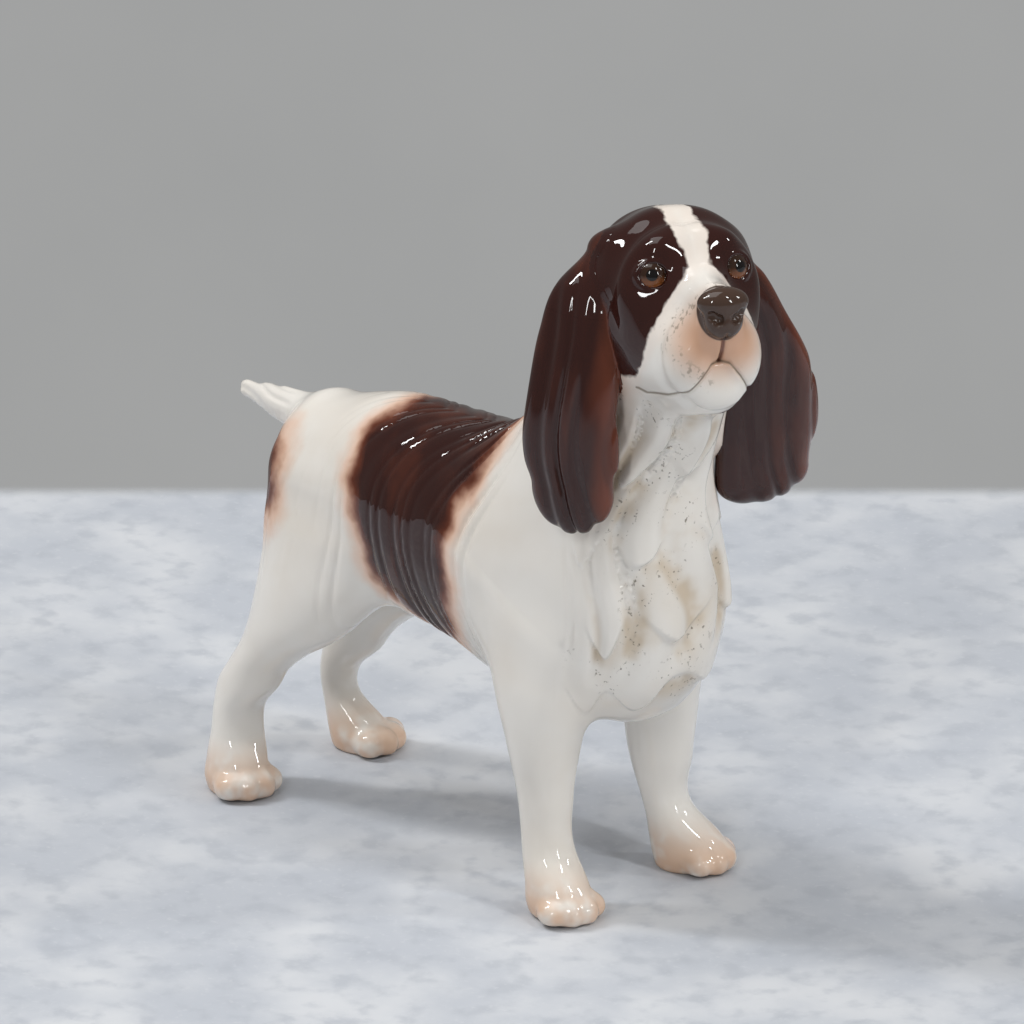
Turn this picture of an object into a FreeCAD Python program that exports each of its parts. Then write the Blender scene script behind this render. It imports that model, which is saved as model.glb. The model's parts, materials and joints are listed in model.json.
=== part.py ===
"""Standing spaniel figurine in glazed ceramic, modelled as the slip castings that are luted together.

Millimetres. +X is the way the dog faces, +Y its left and +Z up. The four soles stand on Z = 0.
Every piece is lofted through oval sections in the dog's own stance frame, whose origin lies on the
ground midway between the paws. At the end the whole dog is moved so that the centre of its
bounding box stands over the origin.
"""

import FreeCAD
import Part

import math
import os

Vector = FreeCAD.Vector

# ---- Casting --------------------------------------------------------------------------------
WALL = 3.5  # thickness of the hollow castings
VENT_BORE = 3.0  # hole under the belly that lets air out in the kiln
VENT_X = -2.0
FORE_SEAM = 31.0  # height of the luted joint of the forelegs
HIND_SEAM = 35.0  # height of the luted joint of the hind legs
HEAD_SEAM = Vector(43.5, 0.0, 91.0)  # where the neck's centre line crosses the head's luted joint
HEAD_SEAM_LEAN = 26.0  # degrees that the joint faces forward of straight up

# ---- Torso: x, top, bottom, half width --------------------------------------------------------
RUMP_END = -42.0
CHEST_END = 56.0
TORSO = [
    (-34.0, 70.2, 41.5, 13.0),
    (-18.0, 74.2, 39.0, 15.0),
    (4.0, 75.2, 36.0, 17.0),
    (24.0, 77.5, 31.5, 18.3),
    (40.0, 76.5, 32.0, 17.4),
]

# ---- Neck: centre x, y, z, half length fore and aft, half width -------------------------------
NECK = [
    (25.0, 0.0, 58.0, 21.0, 14.5),
    (35.0, 0.0, 73.0, 19.0, 15.0),
    (41.2, 0.0, 86.0, 15.2, 13.2),
    (46.5, -1.0, 97.0, 15.2, 12.0),
    (51.0, -2.5, 106.0, 15.0, 11.0),
    (52.0, -2.0, 113.0, 11.0, 9.0),
]
NECK_LEAN = 26.0

# ---- Legs: height, centre x, centre y (outward), half length, half width, toe-out in degrees -----
FORELEG_RIGHT = [
    (0.0, 40.2, 16.0, 6.5, 4.8, 8.0),
    (2.6, 40.2, 16.0, 7.5, 5.7, 8.0),
    (5.6, 39.2, 15.8, 6.6, 5.4, 8.0),
    (10.5, 36.0, 15.0, 4.6, 4.6, 0.0),
    (20.0, 34.6, 14.6, 4.9, 4.8, 0.0),
    (30.0, 34.0, 14.4, 6.8, 6.2, 0.0),
    (38.0, 32.8, 13.4, 9.6, 7.4, 0.0),
    (46.0, 32.0, 11.4, 10.0, 6.6, 0.0),
    (54.0, 31.5, 8.6, 6.5, 4.0, 0.0),
]
FORELEG_LEFT = [
    (0.0, 39.4, 16.2, 6.8, 4.8, 18.0),
    (2.6, 39.4, 16.2, 7.8, 5.7, 18.0),
    (5.6, 38.0, 15.8, 6.9, 5.2, 18.0),
    (10.5, 34.6, 14.4, 4.2, 4.2, 10.0),
    (20.0, 33.0, 14.0, 5.6, 5.4, 0.0),
    (30.0, 32.8, 13.8, 7.0, 6.6, 0.0),
    (38.0, 32.2, 13.0, 9.6, 7.4, 0.0),
    (46.0, 31.8, 11.2, 10.0, 6.6, 0.0),
    (54.0, 31.5, 8.6, 6.5, 4.0, 0.0),
]
HIND_LEG_RIGHT = [
    (0.0, -40.0, 16.4, 6.0, 4.6, 8.0),
    (2.6, -40.0, 16.4, 6.9, 5.4, 8.0),
    (5.6, -40.8, 15.8, 5.9, 5.2, 8.0),
    (10.0, -42.6, 14.4, 4.2, 4.9, 0.0),
    (15.0, -42.8, 13.6, 4.3, 4.8, 0.0),
    (19.0, -40.8, 13.2, 6.0, 4.8, 0.0),
    (23.0, -38.4, 12.8, 6.0, 5.0, 0.0),
    (27.0, -34.9, 12.2, 7.2, 5.6, 0.0),
    (31.5, -30.8, 11.7, 9.8, 6.3, 0.0),
    (37.0, -27.4, 10.9, 12.4, 6.8, 0.0),
    (43.0, -24.6, 9.8, 13.8, 6.4, 0.0),
    (50.0, -23.5, 7.6, 11.0, 5.0, 0.0),
    (56.0, -23.0, 6.0, 7.0, 3.0, 0.0),
]
HIND_LEG_LEFT = [
    (0.0, -40.2, 13.4, 5.7, 4.4, 20.0),
    (2.6, -40.2, 13.4, 6.5, 5.1, 20.0),
    (5.4, -42.0, 12.6, 5.1, 4.2, 20.0),
    (9.5, -44.6, 11.8, 3.1, 3.4, 10.0),
    (15.0, -44.4, 11.4, 3.4, 3.6, 0.0),
    (19.5, -41.4, 11.6, 5.6, 4.4, 0.0),
    (23.0, -39.0, 11.6, 6.0, 4.8, 0.0),
    (27.0, -35.6, 11.5, 7.2, 5.4, 0.0),
    (31.5, -31.2, 11.4, 9.8, 6.2, 0.0),
    (37.0, -27.4, 10.9, 12.4, 6.8, 0.0),
    (43.0, -24.6, 9.8, 13.8, 6.4, 0.0),
    (50.0, -23.5, 7.6, 11.0, 5.0, 0.0),
    (56.0, -23.0, 6.0, 7.0, 3.0, 0.0),
]
TOE_LINES = (-34.0, 0.0, 34.0)  # bearings from the paw centre of the grooves between the toes
TOE_DEPTH = 1.0
TOE_HEIGHT = 5.0

# ---- Head, along its own axis: distance from the skull's centre, top, bottom, half width --------
HEAD_CENTRE = Vector(49.7, 0.4, 114.1)
HEAD_YAW = -24.0
HEAD_PITCH = 12.0
HEAD_ROLL = 0.0
SKULL_BACK = -14.0
SKULL_FRONT = 13.8
SKULL = [
    (-6.0, 10.8, -12.4, 12.4),
    (2.0, 11.5, -13.7, 13.5),
    (7.0, 9.6, -14.8, 12.5),
]
MUZZLE_BACK = 3.0
NOSE_END = 24.2
MUZZLE = [
    (8.0, 3.4, -23.4, 9.4),
    (14.0, 2.4, -22.8, 9.3),
    (18.5, 1.6, -21.2, 8.7),
    (21.0, 0.9, -19.2, 7.8),
]
NOSE_PAD = (24.3, -3.6, 3.2, 4.4, 4.5)  # centre along, centre up, radii along, across, up
EYE = (9.6, 6.9, 1.5, 2.7)  # centre along, across, up and ball radius

# ---- Ears: height, centre x, centre y, half width, half thickness, azimuth of the width --------
EAR_RIGHT = [
    (119.5, 42.6, -8.4, 3.6, 1.6, 20.0),
    (114.0, 42.6, -11.8, 6.0, 2.8, 20.0),
    (105.0, 43.2, -14.8, 7.4, 3.2, 20.0),
    (94.0, 44.0, -17.2, 8.2, 3.4, 22.0),
    (83.0, 44.5, -18.0, 8.2, 3.4, 24.0),
    (76.0, 45.0, -18.0, 6.4, 2.9, 25.0),
    (71.6, 45.2, -18.0, 2.6, 1.4, 25.0),
]
EAR_LEFT = [
    (117.0, 51.2, 11.4, 3.6, 1.6, 60.0),
    (111.0, 52.6, 13.8, 5.5, 2.8, 65.0),
    (102.0, 54.0, 16.2, 7.2, 3.2, 72.0),
    (93.0, 54.2, 18.2, 9.0, 3.4, 78.0),
    (83.0, 53.8, 18.8, 9.8, 3.4, 80.0),
    (75.0, 53.4, 17.8, 8.6, 3.0, 80.0),
    (70.4, 53.4, 17.4, 4.0, 1.5, 80.0),
]

# ---- Tail: x, centre z, half width, half height ------------------------------------------------
TAIL = [
    (-32.0, 63.6, 4.2, 4.8),
    (-40.0, 64.6, 3.5, 3.9),
    (-48.0, 65.2, 2.6, 2.7),
    (-56.0, 65.6, 1.4, 1.4),
]
TAIL_TIP = (-55.2, 65.5, 1.85)  # x, z and radius of the bead that ends it

OVAL_POINTS = 16
DOME_SECTIONS = 4
BOX_TOLERANCE = 0.02  # how closely the bounding box is measured
REACH = 400.0  # side of the blocks that the joint planes are cut with

X, Y, Z = Vector(1, 0, 0), Vector(0, 1, 0), Vector(0, 0, 1)


def heading(degrees):
    """Level unit vectors along and across a direction turned from +X."""
    r = math.radians(degrees)
    return Vector(math.cos(r), math.sin(r), 0), Vector(-math.sin(r), math.cos(r), 0)


def oval(centre, across, up, half_width, half_height):
    """Closed smooth outline through evenly turned points."""
    points = []
    for i in range(OVAL_POINTS):
        angle = 2 * math.pi * i / OVAL_POINTS
        sideways = across * (half_width * math.cos(angle))
        points.append(centre + sideways + up * (half_height * math.sin(angle)))
    curve = Part.BSplineCurve()
    curve.interpolate(points, PeriodicFlag=True)
    return Part.Wire(curve.toShape())


def loft(profiles):
    return Part.makeLoft(profiles, True).Solids[0]


def dome(centre, axis, depth, across, up, half_width, half_height):
    """Shrinking sections that round off a loft's end over depth, then its tip."""
    sections = []
    for i in range(1, DOME_SECTIONS + 1):
        angle = math.pi / 2 * i / (DOME_SECTIONS + 0.35)
        c, s = math.cos(angle), math.sin(angle)
        sections.append(oval(centre + axis * (depth * s), across, up, half_width * c, half_height * c))
    return sections + [Part.Vertex(centre + axis * depth)]


def barrel(stations, back, front, inset=0.0):
    """Round-ended loft along X through (x, top, bottom, half width), shrunk by inset all over."""
    sections = [(Vector(x, 0, (t + b) / 2), w - inset, (t - b) / 2 - inset) for x, t, b, w in stations]
    first, last = sections[0], sections[-1]
    head_end = dome(last[0], X, front - inset - last[0].x, Y, Z, last[1], last[2])
    tail_end = dome(first[0], -X, first[0].x - back - inset, Y, Z, first[1], first[2])
    return loft(tail_end[::-1] + [oval(c, Y, Z, w, h) for c, w, h in sections] + head_end)


def neck(inset=0.0):
    lean = math.radians(NECK_LEAN)
    fore = Vector(math.cos(lean), 0, -math.sin(lean))
    return loft([oval(Vector(x, y, z), Y, fore, w - inset, a - inset) for x, y, z, a, w in NECK])


def leg(stations, side):
    profiles = []
    for z, x, y, a, b, toe_out in stations:
        along, across = heading(side * toe_out)
        profiles.append(oval(Vector(x, side * y, z), across, along, b, a))
    solid = loft(profiles)
    for bearing in TOE_LINES:
        solid = solid.cut(toe_groove(stations[1], side, bearing))
    return solid


def toe_groove(station, side, bearing):
    """Upright wedge whose edge stands TOE_DEPTH inside the paw's widest outline."""
    z, x, y, a, b, toe_out = station
    along, across = heading(side * toe_out)
    r = math.radians(bearing)
    rim = 1 / math.hypot(math.cos(r) / a, math.sin(r) / b)
    out, sideways = heading(side * toe_out + bearing)
    foot = Vector(x, side * y, -1.0)
    edge = foot + out * (rim - TOE_DEPTH)
    mouth = foot + out * (rim + TOE_DEPTH)
    outline = Part.makePolygon([edge, mouth + sideways * TOE_DEPTH, mouth - sideways * TOE_DEPTH, edge])
    return Part.Face(outline).extrude(Z * (TOE_HEIGHT + 1.0))


def ear(stations):
    profiles = []
    for z, x, y, a, t, azimuth in stations:
        along, across = heading(azimuth)
        profiles.append(oval(Vector(x, y, z), along, across, a, t))
    return loft(profiles)


def tail():
    cone = loft([oval(Vector(x, 0, z), Y, Z, w, h) for x, z, w, h in TAIL])
    x, z, r = TAIL_TIP
    return cone.fuse(Part.makeSphere(r, Vector(x, 0, z)))


def skull(inset=0.0):
    solid = barrel(SKULL, SKULL_BACK, SKULL_FRONT, inset)
    solid.Placement = FreeCAD.Placement(HEAD_CENTRE, FreeCAD.Rotation(HEAD_YAW, -HEAD_PITCH, HEAD_ROLL))
    return solid


def features():
    """Muzzle, nose pad and eyeballs, which stand on the skull."""
    along, up, r_along, r_across, r_up = NOSE_PAD
    pad = barrel([(along, up + r_up, up - r_up, r_across)], along - r_along, along + r_along)
    solid = barrel(MUZZLE, MUZZLE_BACK, NOSE_END).fuse(pad)
    along, across, up, r = EYE
    for side in (-1, 1):
        solid = solid.fuse(Part.makeSphere(r, Vector(along, side * across, up)))
    solid.Placement = FreeCAD.Placement(HEAD_CENTRE, FreeCAD.Rotation(HEAD_YAW, -HEAD_PITCH, HEAD_ROLL))
    return solid


def half_space(origin, normal):
    """Large block on the side of a plane that its normal points to."""
    block = Part.makeBox(REACH, REACH, REACH, Vector(-REACH / 2, -REACH / 2, 0))
    block.Placement = FreeCAD.Placement(origin, FreeCAD.Rotation(Z, normal))
    return block


def castings():
    lean = math.radians(HEAD_SEAM_LEAN)
    seam_normal = Vector(math.sin(lean), 0, math.cos(lean))
    above_head_seam = half_space(HEAD_SEAM, seam_normal)
    above_fore_seam = half_space(Vector(0, 0, FORE_SEAM), Z)
    above_hind_seam = half_space(Vector(0, 0, HIND_SEAM), Z)
    legs = {
        "foreleg_right": (leg(FORELEG_RIGHT, -1), above_fore_seam),
        "foreleg_left": (leg(FORELEG_LEFT, 1), above_fore_seam),
        "hind_leg_right": (leg(HIND_LEG_RIGHT, -1), above_hind_seam),
        "hind_leg_left": (leg(HIND_LEG_LEFT, 1), above_hind_seam),
    }
    parts = {}
    body = barrel(TORSO, RUMP_END, CHEST_END)
    for name, (limb, above) in legs.items():
        parts[name] = limb.cut(above)
        body = body.fuse(limb.common(above))
    body = body.fuse(neck().cut(above_head_seam))
    hollow = barrel(TORSO, RUMP_END, CHEST_END, WALL).fuse(neck(WALL))
    vent = Part.makeCylinder(VENT_BORE / 2, TORSO[2][1], Vector(VENT_X, 0, 0))
    parts["trunk"] = body.cut(hollow).cut(vent)
    whole_head = skull().fuse(features()).fuse(neck().common(above_head_seam))
    parts["head"] = whole_head.cut(neck(WALL)).cut(skull(WALL))
    parts["ear_right"] = ear(EAR_RIGHT).cut(whole_head).cut(body)
    parts["ear_left"] = ear(EAR_LEFT).cut(whole_head).cut(body)
    parts["tail"] = tail().cut(body)
    return parts


def main():
    os.makedirs("parts", exist_ok=True)
    parts = castings()
    corners = [point for shape in parts.values() for point in shape.tessellate(BOX_TOLERANCE)[0]]
    low, high = [Vector(*[pick(p[i] for p in corners) for i in range(3)]) for pick in (min, max)]
    shift = Vector(-(low.x + high.x) / 2, -(low.y + high.y) / 2, -low.z)
    print("size", high - low, "shift", shift)
    for name, shape in parts.items():
        solids = sorted(shape.Solids, key=lambda s: s.Volume)
        print(name, shape.isValid(), [round(s.Volume, 1) for s in solids])
        shape = solids[-1]
        shape.translate(shift)
        shape.exportStep("parts/" + name + ".step")


main()
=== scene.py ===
"""Glazed spaniel figurine: the sculpted skin of each casting, its painted glaze and a plain studio.

The dog is shaped in millimetres in its own stance frame (+X ahead, +Y its left, +Z up, origin on
the ground midway between the paws) as one signed distance field, so that neighbouring castings share
one skin. Each casting is meshed from the field, cut at its luted joints and moved into the row
frame in metres.
"""

import json
import math

import bmesh
import bpy
import numpy as np
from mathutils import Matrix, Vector


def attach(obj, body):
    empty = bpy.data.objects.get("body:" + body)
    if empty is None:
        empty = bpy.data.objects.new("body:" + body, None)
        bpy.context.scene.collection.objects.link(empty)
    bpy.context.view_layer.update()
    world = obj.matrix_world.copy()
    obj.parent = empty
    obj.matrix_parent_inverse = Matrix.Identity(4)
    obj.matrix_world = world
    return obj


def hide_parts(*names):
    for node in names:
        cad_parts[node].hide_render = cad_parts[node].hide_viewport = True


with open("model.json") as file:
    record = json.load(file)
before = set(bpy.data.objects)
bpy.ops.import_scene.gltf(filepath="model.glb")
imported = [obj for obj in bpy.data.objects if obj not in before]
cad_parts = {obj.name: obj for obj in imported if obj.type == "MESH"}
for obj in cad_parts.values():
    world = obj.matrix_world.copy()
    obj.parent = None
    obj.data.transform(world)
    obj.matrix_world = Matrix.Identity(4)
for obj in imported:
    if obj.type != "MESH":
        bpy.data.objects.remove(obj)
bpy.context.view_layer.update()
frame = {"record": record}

MM = 0.001
DETAIL = 1.0
BODY_STEP = 0.55 * DETAIL
LEG_STEP = 0.42 * DETAIL
EAR_STEP = 0.42 * DETAIL
HEAD_STEP = 0.3 * DETAIL

X, Y, Z = np.eye(3)

# ---- Joint planes between the castings ---------------------------------------------------------
FORE_SEAM = 31.0
HIND_SEAM = 35.0
HEAD_SEAM = np.array([43.5, 0.0, 91.0])
HEAD_SEAM_LEAN = math.radians(26.0)
HEAD_SEAM_NORMAL = np.array([math.sin(HEAD_SEAM_LEAN), 0.0, math.cos(HEAD_SEAM_LEAN)])
TAIL_SEAM_X = -42.3
PAW_MARK = (40.2, -16.0)  # stance place of the right fore sole, whose mount ties the two frames

# ---- Torso and tail: x, centre y, centre z, half width, half height ----------------------------
TORSO = [
    (-34.0, 0.0, 56.2, 13.0, 14.7),
    (-18.0, 0.0, 56.8, 15.0, 17.8),
    (4.0, 0.0, 55.8, 17.0, 19.8),
    (24.0, 0.0, 54.7, 18.3, 23.2),
    (40.0, 0.0, 54.4, 17.4, 22.4),
]
TORSO_CAPS = (8.0, 16.0)
TAIL = [
    (-34.0, 0.0, 64.0, 4.4, 4.8),
    (-40.0, 0.0, 64.8, 3.5, 3.9),
    (-48.0, 0.0, 65.3, 2.6, 2.7),
    (-55.0, 0.0, 65.6, 1.5, 1.6),
]
TAIL_CAPS = (3.0, 2.0)

# ---- Neck, along its lean: place, centre ahead, centre y, half length fore and aft, half width ---
NECK_LEAN = math.radians(26.0)
NECK_AXIS = np.array([math.sin(NECK_LEAN), 0.0, math.cos(NECK_LEAN)])
NECK_AHEAD = np.array([math.cos(NECK_LEAN), 0.0, -math.sin(NECK_LEAN)])
NECK = [
    ((25.0, 0.0, 58.0), 21.0, 14.5),
    ((35.0, 0.0, 73.0), 19.0, 15.0),
    ((41.2, 0.0, 86.0), 15.2, 13.2),
    ((46.5, -1.0, 97.0), 15.2, 12.0),
    ((51.0, -2.5, 106.0), 14.0, 11.0),
]

# ---- Legs: height, centre x, centre y (outward), half length, half width, toe-out in degrees -----
FORELEG_RIGHT = [
    (0.0, 39.6, 16.0, 6.4, 4.8, 8.0),
    (2.6, 39.6, 16.0, 6.9, 5.3, 8.0),
    (5.6, 38.8, 15.8, 6.2, 5.2, 8.0),
    (10.5, 36.0, 15.0, 4.6, 4.6, 0.0),
    (20.0, 34.6, 14.6, 4.9, 4.8, 0.0),
    (30.0, 34.0, 14.4, 6.8, 6.2, 0.0),
    (40.0, 32.8, 13.2, 10.0, 7.4, 0.0),
    (50.0, 31.5, 11.6, 11.5, 6.8, 0.0),
    (60.0, 30.5, 9.0, 9.0, 5.0, 0.0),
]
FORELEG_LEFT = [
    (0.0, 38.8, 16.0, 6.7, 4.8, 18.0),
    (2.6, 38.8, 16.0, 7.2, 5.3, 18.0),
    (5.6, 37.6, 15.6, 6.5, 5.1, 18.0),
    (10.5, 34.6, 14.4, 4.2, 4.2, 10.0),
    (20.0, 33.0, 14.0, 5.6, 5.4, 0.0),
    (30.0, 32.8, 13.8, 7.0, 6.6, 0.0),
    (40.0, 32.0, 13.0, 10.0, 7.4, 0.0),
    (50.0, 31.5, 11.6, 11.5, 6.8, 0.0),
    (60.0, 30.5, 9.0, 9.0, 5.0, 0.0),
]
HIND_LEG_RIGHT = [
    (0.0, -40.6, 16.4, 6.0, 4.6, 8.0),
    (2.6, -40.6, 16.4, 6.4, 5.1, 8.0),
    (5.6, -41.2, 15.8, 5.6, 5.0, 8.0),
    (10.0, -42.6, 14.4, 4.2, 4.9, 0.0),
    (15.0, -42.8, 13.6, 4.3, 4.8, 0.0),
    (19.0, -41.0, 13.2, 6.0, 4.8, 0.0),
    (23.0, -38.6, 12.8, 6.0, 5.0, 0.0),
    (27.0, -35.1, 12.2, 7.2, 5.6, 0.0),
    (31.5, -31.0, 11.7, 9.8, 6.3, 0.0),
    (37.0, -27.6, 10.9, 12.4, 6.8, 0.0),
    (43.0, -25.0, 10.2, 14.4, 6.8, 0.0),
    (50.0, -24.5, 9.2, 14.0, 6.4, 0.0),
    (58.0, -24.5, 7.0, 11.0, 5.0, 0.0),
]
HIND_LEG_LEFT = [
    (0.0, -40.8, 13.3, 5.7, 4.4, 20.0),
    (2.6, -40.8, 13.3, 6.1, 4.9, 20.0),
    (5.4, -42.2, 12.6, 5.0, 4.2, 20.0),
    (9.5, -44.6, 11.8, 3.1, 3.4, 10.0),
    (15.0, -44.4, 11.4, 3.4, 3.6, 0.0),
    (19.5, -41.4, 11.6, 5.6, 4.4, 0.0),
    (23.0, -39.0, 11.6, 6.0, 4.8, 0.0),
    (27.0, -35.6, 11.5, 7.2, 5.4, 0.0),
    (31.5, -31.2, 11.4, 9.8, 6.2, 0.0),
    (37.0, -27.6, 10.9, 12.4, 6.8, 0.0),
    (43.0, -25.0, 10.2, 14.4, 6.8, 0.0),
    (50.0, -24.5, 9.2, 14.0, 6.4, 0.0),
    (58.0, -24.5, 7.0, 11.0, 5.0, 0.0),
]
TOE_RADIUS = 2.5
TOE_HEIGHT = 2.2
TOES = [(4.9, -1.6), (4.9, 1.6), (3.3, -4.2), (3.3, 4.2)]  # ahead of the paw centre, to the side
SOLE_ROUND = 1.0

# ---- Head: centre, attitude, and sections along its own axis -------------------------------------
HEAD_CENTRE = np.array([49.7, 0.4, 114.1])
HEAD_YAW = math.radians(-24.0)
HEAD_PITCH = math.radians(12.0)
HEAD_ROLL = math.radians(-1.0)
SKULL = [
    (-6.0, 0.0, -0.8, 12.4, 11.6),
    (2.0, 0.0, -1.1, 13.5, 12.6),
    (7.0, 0.0, -2.6, 12.5, 12.2),
]
SKULL_CAPS = (8.0, 6.6)
BRIDGE = [
    (7.0, 0.0, -3.6, 6.5, 7.2),
    (12.0, 0.0, -4.2, 5.2, 6.9),
    (17.0, 0.0, -4.7, 4.6, 6.5),
    (21.8, 0.0, -4.8, 4.1, 5.7),
]
FLEW = [
    (2.0, 4.8, -11.4, 7.0, 9.0),
    (8.0, 4.6, -11.8, 6.0, 8.4),
    (13.0, 4.1, -12.0, 5.3, 7.8),
    (17.0, 3.7, -11.6, 4.8, 7.0),
]
JAW = [
    (2.0, 0.0, -15.5, 8.5, 8.0),
    (9.0, 0.0, -16.8, 7.8, 7.0),
    (15.0, 0.0, -16.8, 6.6, 5.8),
    (18.6, 0.0, -16.4, 5.2, 4.6),
]
BROW, BROW_RISE = (10.5, 6.4, 6.6), 0.9
SOCKET, SOCKET_SINK = (12.5, 8.4, 1.4), 0.9
# furrow of the forehead
STOP, STOP_SINK = [(6.0, 0.0, 9.4), (10.5, 0.0, 6.0), (13.0, 0.0, 3.0)], 0.5
NOSE_TOP = ((24.4, 0.0, -2.0), (3.1, 4.5, 2.7))
NOSE_BASE = ((24.2, 0.0, -5.2), (2.9, 3.3, 3.1))
NOSTRIL = [((26.6, 1.6, -4.6), 0.85), ((26.3, 2.6, -4.0), 0.8)]
EYE_INNER = (2.0, 6.9, 1.5)  # a point inside the skull, straight behind the eye
EYE_AHEAD = (1.0, 0.0, 0.0)
EYE_DEPTH = 1.9  # of the ball's centre under the socket
GAZE = (0.93, 0.36, 0.10)
EYE_RADIUS = 2.7
LID_RADIUS = 2.45
LID_AHEAD = 1.35  # of the lid's ring from the ball's centre
LID_THICK = 0.42
MOUTH_DEPTH = 0.4
PHILTRUM_DEPTH = 0.45
GROOVE_WIDTH = 0.4
LIP = [  # parting of the lips, as distance to the side and height
    (0.0, -12.2), (1.6, -12.7), (3.4, -15.0), (5.0, -17.2),
    (6.6, -18.2), (8.4, -18.4), (9.6, -17.6), (14.0, -17.2),
]
LIP_BACK = 6.5  # how far back along the head the mouth reaches
PHILTRUM_TOP, PHILTRUM_END, PHILTRUM_BACK = -7.4, -12.2, 19.0

# ---- Ears: height, centre x, centre y, half width, half thickness, azimuth of the width --------
EAR_RIGHT = [
    (118.5, 43.0, -7.8, 3.4, 2.3, 20.0),
    (113.0, 42.8, -12.0, 6.0, 2.9, 20.0),
    (105.0, 43.2, -14.8, 7.4, 3.2, 20.0),
    (94.0, 44.0, -17.2, 8.2, 3.4, 22.0),
    (83.0, 44.5, -18.0, 8.2, 3.4, 24.0),
    (79.0, 44.8, -18.0, 7.2, 3.2, 25.0),
]
EAR_LEFT = [
    (117.0, 50.6, 9.6, 3.6, 2.2, 60.0),
    (111.0, 52.4, 13.0, 4.7, 2.8, 65.0),
    (102.0, 53.8, 15.6, 6.4, 3.2, 72.0),
    (93.0, 54.1, 18.0, 8.7, 3.4, 78.0),
    (83.0, 53.8, 18.8, 9.8, 3.4, 80.0),
    (75.0, 53.4, 17.8, 8.8, 3.1, 80.0),
]
EAR_CAPS = {"ear_right": (7.6, 2.6), "ear_left": (5.0, 2.6)}  # rounding of the lower and upper ends
EAR_SEAM = {"ear_right": 109.0, "ear_left": 107.0}  # the flap is luted to a root cast with the head
ROOT_BLEND = 4.0


# ---- Distance fields ---------------------------------------------------------------------------

def smooth_table(stations, count=160):
    """Dense rows through the stations, by cubic Hermite pieces."""
    rows = np.array(stations, float)
    s, values = rows[:, 0], rows[:, 1:]
    slopes = np.gradient(values, s, axis=0)
    slopes[[0, -1]] = 0.0  # so that the rounded ends carry on without a crease
    dense = np.linspace(s[0], s[-1], count)
    i = np.clip(np.searchsorted(s, dense, side="right") - 1, 0, len(s) - 2)
    h = (s[i + 1] - s[i])[:, None]
    t = ((dense - s[i]) / (s[i + 1] - s[i]))[:, None]
    table = (
        (1 + 2 * t) * (1 - t) ** 2 * values[i]
        + t * (1 - t) ** 2 * h * slopes[i]
        + t * t * (3 - 2 * t) * values[i + 1]
        + t * t * (t - 1) * h * slopes[i + 1]
    )
    return dense, table


class Tube:
    """Oval tube along an axis: stations of (along, centre a, centre b, radius a, radius b, turn)."""

    def __init__(self, stations, along, side_a, side_b, caps, origin=(0, 0, 0)):
        self.s, self.table = smooth_table(stations)
        self.axes = np.array([along, side_a, side_b], float)
        self.origin = np.array(origin, float)
        self.caps = caps

    def locate(self, p):
        """Offsets from the centre line as shares of the radii there, the end share and the sizes."""
        q = (p - self.origin) @ self.axes.T
        s = q[:, 0]
        inner = np.clip(s, self.s[0], self.s[-1])
        column = [np.interp(inner, self.s, c) for c in self.table.T]
        a, b = q[:, 1] - column[0], q[:, 2] - column[1]
        if len(column) > 4:
            c, n = np.cos(column[4]), np.sin(column[4])
            a, b = a * c + b * n, b * c - a * n
        cap = np.where(s > inner, self.caps[1], self.caps[0])
        return a / column[2], b / column[3], (s - inner) / cap, column, cap

    def __call__(self, p):
        ka, kb, e, column, cap = self.locate(p)
        k = np.sqrt(ka * ka + kb * kb + e * e)
        g = np.sqrt((ka / column[2]) ** 2 + (kb / column[3]) ** 2 + (e / cap) ** 2)
        return k * (k - 1) / np.maximum(g, 1e-6)


def ellipsoid(p, centre, radii):
    q = p - np.array(centre)
    radii = np.array(radii)
    k = np.sqrt(((q / radii) ** 2).sum(1))
    g = np.sqrt(((q / radii**2) ** 2).sum(1))
    return k * (k - 1) / np.maximum(g, 1e-6)


def join(a, b, k):
    """Union with a fillet about k wide."""
    h = np.clip(0.5 + 0.5 * (b - a) / k, 0, 1)
    return b + (a - b) * h - k * h * (1 - h)


def carve(a, b, k):
    """What is in both a and b, its edge rounded over k."""
    return -join(-a, -b, k)


def near_line(p, points):
    """Distance to a polyline."""
    best = np.full(len(p), 1e9)
    for a, b in zip(np.array(points[:-1]), np.array(points[1:])):
        t = np.clip((p - a) @ (b - a) / ((b - a) @ (b - a)), 0, 1)
        best = np.minimum(best, np.linalg.norm(p - a - t[:, None] * (b - a), axis=1))
    return best


def bump(d, width):
    return np.exp(-((d / width) ** 2))


WAVES = np.random.default_rng(11).normal(size=(14, 3))
PHASES = np.random.default_rng(12).uniform(0, 2 * math.pi, 14)


def murmur(p, scale):
    """Smooth noise of about +-1 whose features are about scale across."""
    return np.sin(p @ WAVES.T * (1.6 / scale) + PHASES).sum(1) / 4.0


def column(stations, side):
    """A leg as a tube along Z."""
    rows = [(z, x, side * y, a, b, math.radians(side * turn)) for z, x, y, a, b, turn in stations]
    return Tube(rows, Z, X, Y, (1.0, 4.0))


def ear_tube(stations, caps):
    rows = [(z, x, y, a, t, math.radians(turn)) for z, x, y, a, t, turn in reversed(stations)]
    return Tube(rows, Z, X, Y, caps)


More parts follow.
